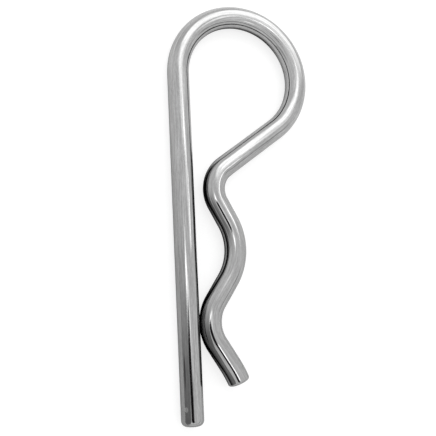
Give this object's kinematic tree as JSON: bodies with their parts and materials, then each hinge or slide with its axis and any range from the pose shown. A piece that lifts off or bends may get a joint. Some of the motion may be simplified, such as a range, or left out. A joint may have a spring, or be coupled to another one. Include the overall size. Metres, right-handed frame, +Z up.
{
  "type": "hitch r clip pin",
  "caption": "R-shaped spring clip of bent round wire: a straight leg for a shaft's cross hole, a loop to pull it by, and a wavy arm that grips round the shaft.",
  "frame": {"origin": "middle of the clip's outline, on the surface it lies on", "axes": "+Z up out of the clip's plane, +Y along the straight leg towards the loop, +X from the leg towards the arm"},
  "size_m": [0.0278, 0.0768, 0.004],
  "materials": {
    "spring_steel": "bright drawn, with fine lengthwise grain"
  },
  "bodies": {
    "root": {"spring_wire": "spring_steel"}
  },
  "joints": []
}
